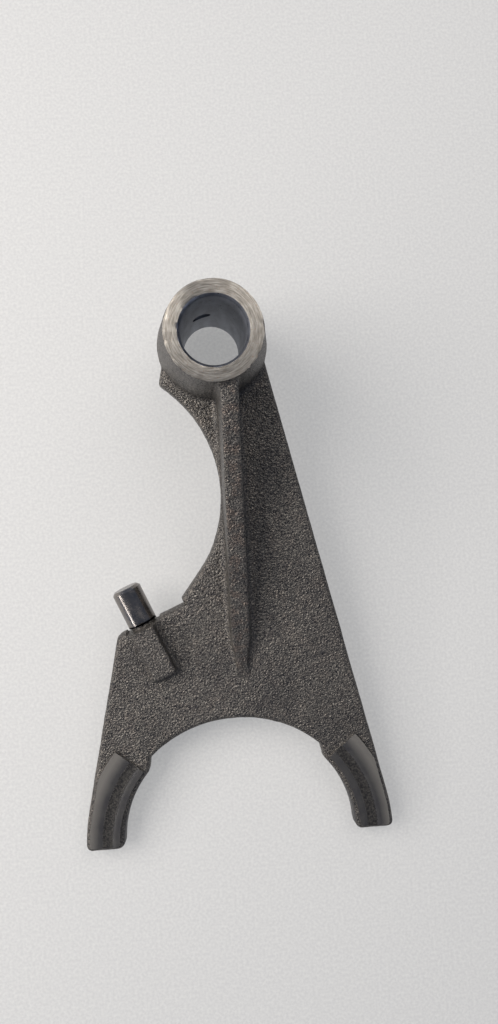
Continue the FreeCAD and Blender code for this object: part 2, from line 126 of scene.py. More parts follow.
# Surface noise: the seed of each kind, the level above which noise makes a pit or a nick, and where the
# lattice's corners get their numbers from
SWELL_SEED, LUMP_SEED, FINE_LUMP_SEED, NICK_SEED, PIT_SEED = range(1, 6)
PIT_LEVEL, NICK_LEVEL = 0.15, 0.25
CORNER_FACTORS = np.array([73856093, 19349663, 83492791], np.uint64)
SEED_FACTOR = 7919
HASH_ROUNDS = ((15, 2246822519), (13, 3266489917))
LAST_SHIFT = 16
WHOLE = np.uint64(0xFFFFFFFF)
CELLS_BELOW = 1000.0

# Mesh: vertices closer than this are one, depth of the remesh's octree, and the angle of a sharp edge in
# degrees
MERGE = MM / 1000
OCTREE_DEPTH = 9
SHARP_ANGLE = 38


class ForkSizes(bpy.types.PropertyGroup):
    """Sizes of the surface detail, all real lengths in millimetres."""
    facet: bpy.props.FloatProperty(
        name="Facet", description="Side of the facets that the casting is divided into", default=0.645)
    swell_width: bpy.props.FloatProperty(
        name="Swell width", description="Width of the cast skin's slow swells", default=7.0)
    swell_height: bpy.props.FloatProperty(
        name="Swell height", description="Height of the slow swells", default=0.08)
    lump_width: bpy.props.FloatProperty(
        name="Lump width", description="Width of the cast skin's lumps", default=2.0)
    lump_height: bpy.props.FloatProperty(
        name="Lump height", description="Height of the lumps", default=0.05)
    grain: bpy.props.FloatProperty(
        name="Grain", description="Width of one grain of the blasted skin", default=0.5)
    grain_height: bpy.props.FloatProperty(
        name="Grain height", description="Height of one grain", default=0.55)
    tool_pitch: bpy.props.FloatProperty(
        name="Tool mark pitch", description="Distance between turning marks on the end faces", default=0.36)
    nick_width: bpy.props.FloatProperty(
        name="Nick width", description="Width of the nicks in the machined edges", default=1.3)
    nick_depth: bpy.props.FloatProperty(
        name="Nick depth", description="Depth of the nicks", default=0.4)
    edge_wear: bpy.props.FloatProperty(
        name="Edge wear", description="What is rubbed off the machined edges all along", default=0.04)
    pit_width: bpy.props.FloatProperty(
        name="Pit width", description="Width of the pits on the rib's crown", default=1.6)
    pit_depth: bpy.props.FloatProperty(
        name="Pit depth", description="Depth of the pits on the rib's crown", default=0.35)
    cloud_width: bpy.props.FloatProperty(
        name="Oil cloud width", description="Width of the dark clouds on the skin", default=16.0)
    rust_width: bpy.props.FloatProperty(
        name="Rust width", description="Width of the patches of rust bloom", default=3.0)
    stain_width: bpy.props.FloatProperty(
        name="Stain width", description="Width of the stains on turned iron", default=3.5)
    speck_width: bpy.props.FloatProperty(
        name="Speck width", description="Width of the specks of rust on turned iron", default=0.7)
    film_width: bpy.props.FloatProperty(
        name="Film width", description="Width of the clouds in the oil film of bore and pin", default=4.0)
    bore_pitch: bpy.props.FloatProperty(
        name="Bore mark pitch", description="Distance between the rings in the bore", default=0.5)
    bore_pit: bpy.props.FloatProperty(
        name="Bore pit width", description="Width of the pits in the bore", default=0.9)
    scratch_width: bpy.props.FloatProperty(
        name="Scratch width", description="Width of the scratches along the pads", default=0.5)
    pad_cloud_width: bpy.props.FloatProperty(
        name="Pad cloud width", description="Width of the darker clouds on the pads", default=5.0)
    scale_width: bpy.props.FloatProperty(
        name="Scale width", description="Width of the scales in the pads' channels", default=0.6)
    pin_pitch: bpy.props.FloatProperty(
        name="Pin mark pitch", description="Distance between the rings on the pin", default=0.4)
    foam_cell: bpy.props.FloatProperty(
        name="Foam cell", description="Width of the foam board's cells", default=1.0)


class ForkColours(bpy.types.PropertyGroup):
    """Colours of the finishes, as hex sRGB."""
    skin: bpy.props.StringProperty(
        name="Cast skin", description="Tips of the blasted grains", default="74706A")
    skin_dark: bpy.props.StringProperty(
        name="Skin hollows", description="Oil in the grain", default="29292D")
    rust: bpy.props.StringProperty(
        name="Rust bloom", description="Brown of light rust", default="8F7A6C")
    turned: bpy.props.StringProperty(
        name="Turned iron", description="Bright rings of the faces", default="B2AEA7")
    turned_dark: bpy.props.StringProperty(
        name="Turned grooves", description="Dull rings", default="78746E")
    stain: bpy.props.StringProperty(
        name="Stains", description="Dull stains on turned iron", default="7C756D")
    bored: bpy.props.StringProperty(
        name="Bored iron", description="Wall of the bore", default="A4A8B2")
    bored_dark: bpy.props.StringProperty(
        name="Bore film", description="Oil film in the bore", default="83868F")
    ground: bpy.props.StringProperty(
        name="Ground pads", description="Hard, dark pads", default="4B4A49")
    ground_dark: bpy.props.StringProperty(
        name="Ground shade", description="Darker clouds", default="3F3E40")
    ground_worn: bpy.props.StringProperty(
        name="Worn edge", description="Rubbed outer edge", default="7D7A75")
    channel: bpy.props.StringProperty(
        name="Channel tips", description="Scale in the channel", default="44423F")
    channel_dark: bpy.props.StringProperty(
        name="Channel pits", description="Pits in the channel", default="1B1A1C")
    pin: bpy.props.StringProperty(
        name="Pin", description="Polished dark pin", default="8E8883")
    pin_dark: bpy.props.StringProperty(
        name="Pin film", description="Darker film on the pin", default="7C7A7A")
    # Painted shade: the near-black colour of the groove at the pin's root stands in for the shade inside that
    # narrow groove
    groove_shade: bpy.props.StringProperty(
        name="Groove", description="Oil in the groove at the pin's root", default="121214")
    floor: bpy.props.StringProperty(
        name="Floor", description="Bright cells of the foam board", default="D9D9D8")
    floor_shade: bpy.props.StringProperty(
        name="Floor shade", description="The rest of the board", default="CECECE")


class StudioSettings(bpy.types.PropertyGroup):
    """Lamps, room light and camera."""
    aim: bpy.props.FloatVectorProperty(
        name="Aim", description="Point that the lamps face", size=3, subtype="TRANSLATION",
        default=(0.005, -0.075, 0.0))
    window_place: bpy.props.FloatVectorProperty(
        name="Window place", description="Where the main lamp stands", size=3, subtype="TRANSLATION",
        default=(-0.43, 0.09, 0.45))
    window_width: bpy.props.FloatProperty(
        name="Window width", description="Side of the main lamp", default=0.48, unit="LENGTH")
    window_power: bpy.props.FloatProperty(
        name="Window power", description="Power of the main lamp", default=5.0, unit="POWER")
    sky_place: bpy.props.FloatVectorProperty(
        name="Skylight place", description="Where the second lamp stands", size=3, subtype="TRANSLATION",
        default=(0.20, 0.28, 0.62))
    sky_width: bpy.props.FloatProperty(
        name="Skylight width", description="Side of the second lamp", default=0.5, unit="LENGTH")
    sky_power: bpy.props.FloatProperty(
        name="Skylight power", description="Power of the second lamp", default=2.1, unit="POWER")
    strip_place: bpy.props.FloatVectorProperty(
        name="Strip place", description="Where the low strip lamp stands", size=3, subtype="TRANSLATION",
        default=(-0.45, -0.27, 0.20))
    strip_power: bpy.props.FloatProperty(
        name="Strip power", description="Power of the strip lamp", default=0.8, unit="POWER")
    wall_level: bpy.props.FloatProperty(
        name="Wall level", description="Strength of the room's light near the horizon", default=0.5, min=0)
    overhead_level: bpy.props.FloatProperty(
        name="Overhead level", description="Strength of the room's light from above", default=0.2, min=0)
    floor_glow: bpy.props.FloatProperty(
        name="Floor glow", description="Part of the floor's tone that takes no shadow", default=0.5,
        min=0, max=1)
    focal_pixels: bpy.props.FloatProperty(
        name="Focal length", description="Focal length in pixels of the picture", default=775.0)
    camera_place: bpy.props.FloatVectorProperty(
        name="Camera place", description="Where the camera stands", size=3, subtype="TRANSLATION",
        default=(-0.00603, -0.06850, 0.25717))
    camera_turn: bpy.props.FloatVectorProperty(
        name="Camera turn", description="Turn of the camera from looking straight down, in degrees", size=3,
        default=(2.895, -3.130, -3.703))


# Studio: lengths in metres, the picture's size in pixels and the camera's sensor in millimetres
STRIP_LENGTH, STRIP_WIDTH = 0.45, 0.05
FLOOR_SIZE = 3.0
CLIP_START = 0.01
HORIZON_POWER = 4.0
LAMP_COLOUR = "FFF9F2"
ROOM_COLOUR = "CCDAF6"
PICTURE_SIZE = (498, 1024)
SENSOR = 36.0


def linear(code):
    """An sRGB hex code as linear red, green, blue and 1."""
    parts = [int(code[k:k + 2], 16) / 255 for k in (0, 2, 4)]
    return tuple(c / 12.92 if c <= 0.04045 else ((c + 0.055) / 1.055) ** 2.4 for c in parts) + (1.0,)


def add(tree, kind, inputs=None, **settings):
    """Adds a node with its settings. Each input is a value for its socket, or a node or output to link to
    it. A socket is named by its name or its number, and a node stands for its first live output."""
    item = tree.nodes.new(kind)
    for key, value in settings.items():
        setattr(item, key, value)
    for key, value in (inputs or {}).items():
        named = [socket for socket in item.inputs if socket.enabled and socket.name == key]
        socket = named[0] if named else item.inputs[key]
        if isinstance(value, bpy.types.Node):
            value = next(output for output in value.outputs if output.enabled)
        if isinstance(value, bpy.types.NodeSocket):
            tree.links.new(value, socket)
        else:
            socket.default_value = value
    return item


# Form of the casting's surface
def lattice_noise(points, width, seed):
    """Smooth noise from -1 to 1. Each corner of a cubic lattice has a whole number hashed from its place,
    and a point takes the weighted mean of its cell's eight corners. The weight along each side is three
    times the square less twice the cube of how far along it the point lies. The places are moved up by whole
    cells, so that none is negative."""
    place = points / width + CELLS_BELOW
    low = np.floor(place).astype(np.uint64)
    t = place - low
    t = t * t * (3 - 2 * t)
    total = np.zeros(len(points))
    for corner in range(8):
        step = np.array([corner & 1, corner >> 1 & 1, corner >> 2 & 1], np.uint64)
        code = (((low + step) * CORNER_FACTORS).sum(axis=1) + np.uint64(seed * SEED_FACTOR)) & WHOLE
        for shift, factor in HASH_ROUNDS:
            code = ((code ^ (code >> np.uint64(shift))) * np.uint64(factor)) & WHOLE
        value = (code ^ (code >> np.uint64(LAST_SHIFT))) / float(WHOLE) * 2 - 1
        total += value * np.where(step == 1, t, 1 - t).prod(axis=1)
    return total


def vectors(collection, name):
    """A vector of each element of a mesh, as rows."""
    flat = np.zeros(len(collection) * 3)
    collection.foreach_get(name, flat)
    return flat.reshape(-1, 3)


def remeshed(source, facet):
    """The CAD mesh divided anew into square facets along the fork's own axes, with its edges kept sharp."""
    bm = bmesh.new()
    bm.from_mesh(source)
    bmesh.ops.remove_doubles(bm, verts=bm.verts, dist=MERGE)
    bm.transform(FORK_TURN.to_4x4())
    mesh = bpy.data.meshes.new(PIECE)
    bm.to_mesh(mesh)
    bm.free()
    extent = np.ptp(vectors(mesh.vertices, "co"), axis=0).max()
    piece = bpy.data.objects.new(PIECE, mesh)
    bpy.context.scene.collection.objects.link(piece)
    divider = piece.modifiers.new("Facets", "REMESH")
    divider.mode = "SHARP"
    divider.octree_depth = OCTREE_DEPTH
    divider.scale = extent / (facet * MM * 2 ** OCTREE_DEPTH)
    divider.use_remove_disconnected = False
    graph = bpy.context.evaluated_depsgraph_get()
    result = bpy.data.meshes.new_from_object(piece.evaluated_get(graph))
    piece.modifiers.remove(divider)
    piece.data = result
    bpy.data.meshes.remove(mesh)
    result.name = PIECE
    return piece


def from_line(points, through, way):
    """How far along a line and how far from it each point lies."""
    offset = points - through
    along = offset @ way
    return along, np.linalg.norm(offset - along[:, None] * way, axis=1)


def pad_places(points):
    """Distance of each point from the axis of the throat, and its turn about it down from level, in
    degrees."""
    across, along = points[:, 0], points[:, 1] - THROAT_CENTRE[1]
    return np.hypot(across, along), np.degrees(np.arctan2(along, np.abs(across)))


def finishes(places, ways):
    """The finish of each face of the casting, from where its middle lies and which way it faces."""
    radius = np.hypot(places[:, 0], places[:, 1])
    upright = np.abs(ways[:, 2])
    high, low = places[:, 2].max(), places[:, 2].min()
    pad = abs(fork_point("pad_top_left")[2])
    ring = mount_radius("bore")
    at_ends = (places[:, 2] > high - NEAR) | (places[:, 2] < low + NEAR)
    pin_along, pin_off = from_line(places, fork_point("pin"), fork_way("pin"))
    hole_along, hole_off = from_line(places, fork_point("cross_hole"), fork_way("cross_hole"))
    throat_radius, turn = pad_places(places)
    result = np.full(len(places), SKIN)
    result[(upright > END_FACE) & (radius < RING_REACH * ring) & at_ends] = TURNED
    result[(radius < ring + BORE_CHAMFER) & (upright < BORE_WALL)] = BORED
    result[(hole_off < mount_radius("cross_hole") + NEAR) & (np.abs(hole_along) < ring)
           & (np.abs(ways @ fork_way("cross_hole")) < HOLE_WALL)] = BORED
    result[(turn < PAD_TURN) & (upright > PAD_FACE) & (throat_radius < PAD_REACH)
           & (np.abs(places[:, 2]) > pad - CHANNEL_DEPTH - NEAR)] = GROUND
    result[(turn < PAD_TURN) & (upright <= PAD_FACE) & (throat_radius < PAD_WALL)] = GROUND
    result[(pin_off < mount_radius("pin") + NEAR) & (pin_along > PIN_ROOT - PIN_SINK)
           & ((np.abs(ways @ fork_way("pin")) < PIN_SIDE) | (pin_along > 0))] = PIN
    return result


def crown_of_rib(places):
    """1 on the crown of the upper rib, fading to 0 past its sides, its ends and a little way down its
    flanks. The crown's height rises along the rib in a straight line, from the nose to the boss."""
    x, y, z = places.T
    across = 1 - np.clip((np.abs(x - CROWN_MIDDLE) - CROWN_HALF) / CROWN_FADE, 0, 1)
    upper = np.clip((CROWN_UPPER - y) / CROWN_UPPER_FADE, 0, 1)
    lower = np.clip((y - CROWN_LOWER) / CROWN_LOWER_FADE, 0, 1)
    line = NOSE_HEIGHT + (y - NOSE_PLACE) * CROWN_SLOPE
    return across * upper * lower * np.clip(1 - (line - z) / CROWN_DEPTH, 0, 1)


def share_of_faces(mesh, chosen):
    """For each vertex, the part of its faces that are chosen."""
    corners = np.zeros(len(mesh.loops), int)
    mesh.loops.foreach_get("vertex_index", corners)
    sides = np.zeros(len(mesh.polygons), int)
    mesh.polygons.foreach_get("loop_total", sides)
    count = len(mesh.vertices)
    hits = np.bincount(corners, np.repeat(chosen.astype(float), sides), count)
    return hits / np.bincount(corners, minlength=count)


def weather(mesh, sizes):
    """Gives each face its finish. Moves the vertices inside the cast skin along their normals, by swells
    and lumps of noise and by pits on the rib's crown, but not round the pin's root. Where turned faces end,
    it rubs the edge down and takes nicks out of it."""
    finish = finishes(vectors(mesh.polygons, "center") / MM, vectors(mesh.polygons, "normal"))
    mesh.polygons.foreach_set("material_index", finish.astype(np.int32))
    skin = share_of_faces(mesh, finish == SKIN) == 1
    turned = share_of_faces(mesh, finish == TURNED)
    points = vectors(mesh.vertices, "co") / MM
    crown = crown_of_rib(points) * skin
    swell = lattice_noise(points, sizes.swell_width, SWELL_SEED) * sizes.swell_height
    lump = (lattice_noise(points, sizes.lump_width, LUMP_SEED)
            + 0.5 * lattice_noise(points, sizes.lump_width / 2, FINE_LUMP_SEED)) * sizes.lump_height
    pit = np.clip(lattice_noise(points, sizes.pit_width, PIT_SEED) - PIT_LEVEL, 0, 1) * sizes.pit_depth
    nick = np.clip(lattice_noise(points, sizes.nick_width, NICK_SEED) - NICK_LEVEL, 0, 1) * sizes.nick_depth
    pin_off = from_line(points, fork_point("pin"), fork_way("pin"))[1]
    height = ((swell + lump) * skin - pit * crown) * (pin_off > mount_radius("pin") + PIN_FOOT)
    height -= (sizes.edge_wear + nick) * ((turned > 0) & (turned < 1))
    moved = (points + vectors(mesh.vertex_normals, "vector") * height[:, None]) * MM
    mesh.vertices.foreach_set("co", moved.ravel())
    mesh.attributes.new("crown", "FLOAT", "POINT").data.foreach_set("value", crown)
    mesh.update()


# Materials
def new_tree(name):
    """A new material with an empty node tree."""
    material = bpy.data.materials.new(name)
    material.use_nodes = True
    material.node_tree.nodes.clear()
    return material, material.node_tree


def fork_place(tree):
    """Object coordinates turned into the fork's own frame and counted in millimetres."""
    place = add(tree, "ShaderNodeTexCoord").outputs["Object"]
    return add(tree, "ShaderNodeMapping", {"Vector": place, "Scale": (1 / MM,) * 3,
                                           "Rotation": FORK_TURN.to_euler()})


def circles(tree, place, centre, turns):
    """Distance from an upright axis, and the turn about it times a factor, as the first two coordinates."""
    offset = add(tree, "ShaderNodeVectorMath", {0: place, 1: (*centre, 0.0)}, operation="SUBTRACT")
    flat = add(tree, "ShaderNodeVectorMath", {0: offset, 1: (1.0, 1.0, 0.0)}, operation="MULTIPLY")
    radius = add(tree, "ShaderNodeVectorMath", {0: flat}, operation="LENGTH").outputs["Value"]
    parts = add(tree, "ShaderNodeSeparateXYZ", {0: flat})
    turn = add(tree, "ShaderNodeMath", {0: parts.outputs[1], 1: parts.outputs[0]}, operation="ARCTAN2")
    turn = add(tree, "ShaderNodeMath", {0: turn, 1: turns}, operation="MULTIPLY")
    return add(tree, "ShaderNodeCombineXYZ", {0: radius, 1: turn})


def finish_with(tree, colour, roughness, height, relief, metallic, **more):
    """Closes a material: a metal shader, with bump of this relief in millimetres."""
    bump = add(tree, "ShaderNodeBump", {"Height": height, "Strength": 1.0, "Distance": relief * MM})
    inputs = {"Base Color": colour, "Roughness": roughness, "Metallic": metallic, "Normal": bump}
    shader = add(tree, "ShaderNodeBsdfPrincipled", inputs | more)
    add(tree, "ShaderNodeOutputMaterial", {"Surface": shader})


def blasted_iron_skin(colours, sizes):
    """Shot-blasted, oiled cast iron: a dark, half metallic skin of round grains that catch the light
    singly, with oil in the hollows and a brown bloom on the rib's crown, where hands and shelves have
    rubbed it."""
    material, tree = new_tree("blasted_iron_skin")
    place = fork_place(tree)
    grain = add(tree, "ShaderNodeTexNoise", {"Vector": place, "Scale": 1 / sizes.grain, "Detail": 2.0,
                                             "Roughness": 0.55})
    pebble = add(tree, "ShaderNodeTexNoise", {"Vector": place, "Scale": 0.8 / sizes.grain, "Detail": 1.0})
    tips = add(tree, "ShaderNodeMapRange", {"Value": grain, "From Min": 0.34, "From Max": 0.62})
    cloud = add(tree, "ShaderNodeTexNoise", {"Vector": place, "Scale": 1 / sizes.cloud_width, "Detail": 4.0,
                                             "Roughness": 0.6})
    cloud = add(tree, "ShaderNodeMapRange", {"Value": cloud, "From Min": 0.35, "From Max": 0.68,
                                             "To Min": 0.0, "To Max": 0.35})
    rust = add(tree, "ShaderNodeTexNoise", {"Vector": place, "Scale": 1 / sizes.rust_width, "Detail": 4.0,
                                            "Roughness": 0.65})
    rust = add(tree, "ShaderNodeMapRange", {"Value": rust, "From Min": 0.45, "From Max": 0.62})
    crown = add(tree, "ShaderNodeAttribute", attribute_name="crown").outputs["Fac"]
    crown = add(tree, "ShaderNodeMapRange", {"Value": crown, "To Min": 0.1, "To Max": 0.5})
    rust = add(tree, "ShaderNodeMath", {0: rust, 1: crown}, operation="MULTIPLY")
    colour = add(tree, "ShaderNodeMix", {"Factor": rust, "A": linear(colours.skin),
                                         "B": linear(colours.rust)}, data_type="RGBA")
    colour = add(tree, "ShaderNodeMix", {"Factor": cloud, "A": colour,
                                         "B": linear(colours.skin_dark)}, data_type="RGBA")
    colour = add(tree, "ShaderNodeMix", {"Factor": tips, "A": linear(colours.skin_dark),
                                         "B": colour}, data_type="RGBA")
    roughness = add(tree, "ShaderNodeMapRange", {"Value": grain, "From Min": 0.3, "From Max": 0.7,
                                                 "To Min": 0.55, "To Max": 0.4})
    finish_with(tree, colour, roughness, pebble, relief=sizes.grain_height, metallic=0.6)
    return material


def turned_iron(colours, sizes):
    """End faces cut on a lathe: bright grey iron that shines along rays across the tool's rings. The rings
    are uneven, and there are stains and specks of rust over them."""
    material, tree = new_tree("turned_iron")
    place = fork_place(tree)
    rings = circles(tree, place, (0.0, 0.0), turns=1.2)
    marks = add(tree, "ShaderNodeTexNoise", {"Vector": rings, "Scale": 1 / sizes.tool_pitch, "Detail": 1.0,
                                             "Roughness": 0.6})
    bands = add(tree, "ShaderNodeTexNoise", {"Vector": rings, "Scale": 0.25 / sizes.tool_pitch, "Detail": 3.0,
                                             "Roughness": 0.7})
    stain = add(tree, "ShaderNodeTexNoise", {"Vector": place, "Scale": 1 / sizes.stain_width, "Detail": 4.0,
                                             "Roughness": 0.65})
    stain = add(tree, "ShaderNodeMapRange", {"Value": stain, "From Min": 0.46, "From Max": 0.68,
                                             "To Min": 0.0, "To Max": 0.45})
    speck = add(tree, "ShaderNodeTexNoise", {"Vector": place, "Scale": 1 / sizes.speck_width, "Detail": 2.0,
                                             "Roughness": 0.6})
    speck = add(tree, "ShaderNodeMapRange", {"Value": speck, "From Min": 0.62, "From Max": 0.7,
                                             "To Min": 0.0, "To Max": 0.7})
    bright = add(tree, "ShaderNodeMapRange", {"Value": marks, "From Min": 0.3, "From Max": 0.7})
    colour = add(tree, "ShaderNodeMix", {"Factor": bright, "A": linear(colours.turned_dark),
                                         "B": linear(colours.turned)}, data_type="RGBA")
    colour = add(tree, "ShaderNodeMix", {"Factor": stain, "A": colour,
                                         "B": linear(colours.stain)}, data_type="RGBA")
    colour = add(tree, "ShaderNodeMix", {"Factor": speck, "A": colour,
                                         "B": linear(colours.rust)}, data_type="RGBA")
    roughness = add(tree, "ShaderNodeMapRange", {"Value": bands, "From Min": 0.3, "From Max": 0.7,
                                                 "To Min": 0.52, "To Max": 0.34})
    outward = add(tree, "ShaderNodeVectorMath", {0: add(tree, "ShaderNodeTexCoord").outputs["Object"],
                                                 1: (1.0, 1.0, 0.0)}, operation="MULTIPLY")
    outward = add(tree, "ShaderNodeVectorMath", {0: outward}, operation="NORMALIZE")
    finish_with(tree, colour, roughness, marks, relief=0.03, metallic=1.0, Anisotropic=0.6, Tangent=outward)
    return material


def bored_iron(colours, sizes):
    """Reamed bore: matte blue-grey iron under an uneven film of oil, with faint rings and a few dark pits."""
    material, tree = new_tree("bored_iron")
    place = fork_place(tree)
    drawn = add(tree, "ShaderNodeVectorMath", {0: place, 1: (1.0, 1.0, 0.3)}, operation="MULTIPLY")
    film = add(tree, "ShaderNodeTexNoise", {"Vector": drawn, "Scale": 1 / sizes.film_width, "Detail": 3.0,
                                            "Roughness": 0.6})
    film = add(tree, "ShaderNodeMapRange", {"Value": film, "From Min": 0.35, "From Max": 0.7})
    level = add(tree, "ShaderNodeVectorMath", {0: place, 1: (0.1, 0.1, 1.0)}, operation="MULTIPLY")
    rings = add(tree, "ShaderNodeTexNoise", {"Vector": level, "Scale": 1 / sizes.bore_pitch, "Detail": 2.0,
                                             "Roughness": 0.6})
    pits = add(tree, "ShaderNodeTexNoise", {"Vector": place, "Scale": 1 / sizes.bore_pit, "Detail": 1.0})
    pits = add(tree, "ShaderNodeMapRange", {"Value": pits, "From Min": 0.7, "From Max": 0.74})
    colour = add(tree, "ShaderNodeMix", {"Factor": film, "A": linear(colours.bored_dark),
                                         "B": linear(colours.bored)}, data_type="RGBA")
    colour = add(tree, "ShaderNodeMix", {"Factor": pits, "A": colour,
                                         "B": linear(colours.skin_dark)}, data_type="RGBA")
    finish_with(tree, colour, 0.5, rings, relief=0.012, metallic=1.0)
    return material


def ground_pads(colours, sizes):
    """Hardened and ground pads: dark, smooth iron with fine scratches along the finger, paler where the
    outer edge has rubbed. The channel between its two radii keeps the rough, scaly skin and has ragged
    edges."""
    material, tree = new_tree("ground_pads")
    place = fork_place(tree)
    rings = circles(tree, place, THROAT_CENTRE, turns=6.0)
    scratches = add(tree, "ShaderNodeTexNoise", {"Vector": rings, "Scale": 1 / sizes.scratch_width,
                                                 "Detail": 2.0, "Roughness": 0.6})
    cloud = add(tree, "ShaderNodeTexNoise", {"Vector": place, "Scale": 1 / sizes.pad_cloud_width,
                                             "Detail": 4.0, "Roughness": 0.6})
    scale = add(tree, "ShaderNodeTexNoise", {"Vector": place, "Scale": 1 / sizes.scale_width, "Detail": 2.0,
                                             "Roughness": 0.6})
    radius = add(tree, "ShaderNodeSeparateXYZ", {0: rings}).outputs[0]
    ragged = add(tree, "ShaderNodeMapRange", {"Value": scale, "From Min": 0.3, "From Max": 0.7,
                                              "To Min": -0.3, "To Max": 0.3})
    edge = add(tree, "ShaderNodeMath", {0: radius, 1: ragged}, operation="ADD")
    middle = (CHANNEL_INNER + CHANNEL_OUTER) / 2
    edge = add(tree, "ShaderNodeMath", {0: edge, 1: middle}, operation="SUBTRACT")
    edge = add(tree, "ShaderNodeMath", {0: edge}, operation="ABSOLUTE")
    half = (CHANNEL_OUTER - CHANNEL_INNER) / 2
    sunk = add(tree, "ShaderNodeMapRange", {"Value": edge, "From Min": half + 0.1, "From Max": half - 0.15})
    worn = add(tree, "ShaderNodeMapRange", {"Value": radius, "From Min": PAD_REACH - 5.0,
                                            "From Max": PAD_REACH - 2.0, "To Min": 0.0, "To Max": 0.8})
    flat = add(tree, "ShaderNodeMapRange", {"Value": cloud, "From Min": 0.35, "From Max": 0.65})
    tips = add(tree, "ShaderNodeMapRange", {"Value": scale, "From Min": 0.4, "From Max": 0.62})
    colour = add(tree, "ShaderNodeMix", {"Factor": flat, "A": linear(colours.ground_dark),
                                         "B": linear(colours.ground)}, data_type="RGBA")
    colour = add(tree, "ShaderNodeMix", {"Factor": worn, "A": colour,
                                         "B": linear(colours.ground_worn)}, data_type="RGBA")
    channel = add(tree, "ShaderNodeMix", {"Factor": tips, "A": linear(colours.channel_dark),
                                          "B": linear(colours.channel)}, data_type="RGBA")
    colour = add(tree, "ShaderNodeMix", {"Factor": sunk, "A": colour, "B": channel}, data_type="RGBA")
    roughness = add(tree, "ShaderNodeMapRange", {"Value": sunk, "To Min": 0.5, "To Max": 0.65})
    fine = add(tree, "ShaderNodeMath", {0: scratches, 1: 0.08}, operation="MULTIPLY")
    height = add(tree, "ShaderNodeMix", {"Factor": sunk, "A": fine, "B": scale}, data_type="FLOAT")
    finish_with(tree, colour, roughness, height, relief=0.2, metallic=0.35)
    return material


def polished_pin(colours, sizes):
    """Turned and polished pin, darkened by heat and oil: a glossy dark metal that shows the window as a
    streak, with fine rings round its axis. At its root it has painted shade: a black line where the narrow
    groove there is too fine for the facets to form."""
    material, tree = new_tree("polished_pin")
    place = fork_place(tree)
    offset = add(tree, "ShaderNodeVectorMath", {0: place, 1: tuple(fork_point("pin"))}, operation="SUBTRACT")
    along = add(tree, "ShaderNodeVectorMath", {0: offset, 1: tuple(fork_way("pin"))},
                operation="DOT_PRODUCT").outputs["Value"]
    line = add(tree, "ShaderNodeCombineXYZ", {0: along})
    slow = add(tree, "ShaderNodeVectorMath", {0: place, 1: (0.08,) * 3}, operation="MULTIPLY")
    line = add(tree, "ShaderNodeVectorMath", {0: line, 1: slow}, operation="ADD")
    rings = add(tree, "ShaderNodeTexNoise", {"Vector": line, "Scale": 1 / sizes.pin_pitch, "Detail": 2.0,
                                             "Roughness": 0.6})
    film = add(tree, "ShaderNodeTexNoise", {"Vector": place, "Scale": 1 / sizes.film_width, "Detail": 3.0,
                                            "Roughness": 0.6})
    film = add(tree, "ShaderNodeMapRange", {"Value": film, "From Min": 0.35, "From Max": 0.7})
    # Painted shade: a black band on the pin just past its root, in place of the shade in the groove there
    end = PIN_ROOT + GROOVE_WIDTH
    groove_shade = add(tree, "ShaderNodeMapRange", {"Value": along, "From Min": end + 0.15, "From Max": end - 0.1})
    colour = add(tree, "ShaderNodeMix", {"Factor": film, "A": linear(colours.pin_dark),
                                         "B": linear(colours.pin)}, data_type="RGBA")
    colour = add(tree, "ShaderNodeMix", {"Factor": groove_shade, "A": colour,
                                         "B": linear(colours.groove_shade)}, data_type="RGBA")
    roughness = add(tree, "ShaderNodeMapRange", {"Value": film, "To Min": 0.2, "To Max": 0.32})
    finish_with(tree, colour, roughness, rings, relief=0.008, metallic=1.0)
    return material


class FORK_OT_casting(bpy.types.Operator):
    """Makes the casting with its finishes in place of the plain CAD node"""
    bl_idname = "fork.casting"
    bl_label = "Casting"

    def execute(self, context):
        sizes, colours = context.scene.fork_sizes, context.scene.fork_colours
        piece = remeshed(frame["nodes"][NODE].data, sizes.facet)
        mesh = piece.data
        for make in (blasted_iron_skin, turned_iron, bored_iron, ground_pads, polished_pin):
            mesh.materials.append(make(colours, sizes))
        weather(mesh, sizes)
        mesh.transform(FORK_TURN.transposed().to_4x4())
        mesh.shade_smooth()
        mesh.set_sharp_from_angle(angle=math.radians(SHARP_ANGLE))
        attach(piece, BODY)
        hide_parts(NODE)
        return {"FINISHED"}


# Studio
def soft_lamp(name, place, aim, width, power):
    """A square area lamp of this width, in metres, turned to a point."""
    lamp = bpy.data.lights.new(name, "AREA")
    lamp.size = width
    lamp.energy = power
    lamp.color = linear(LAMP_COLOUR)[:3]
    holder = bpy.data.objects.new(name, lamp)
    holder.location = place
    holder.rotation_mode = "QUATERNION"
    holder.rotation_quaternion = (Vector(aim) - Vector(place)).to_track_quat("-Z", "Y")
    bpy.context.scene.collection.objects.link(holder)
    return holder


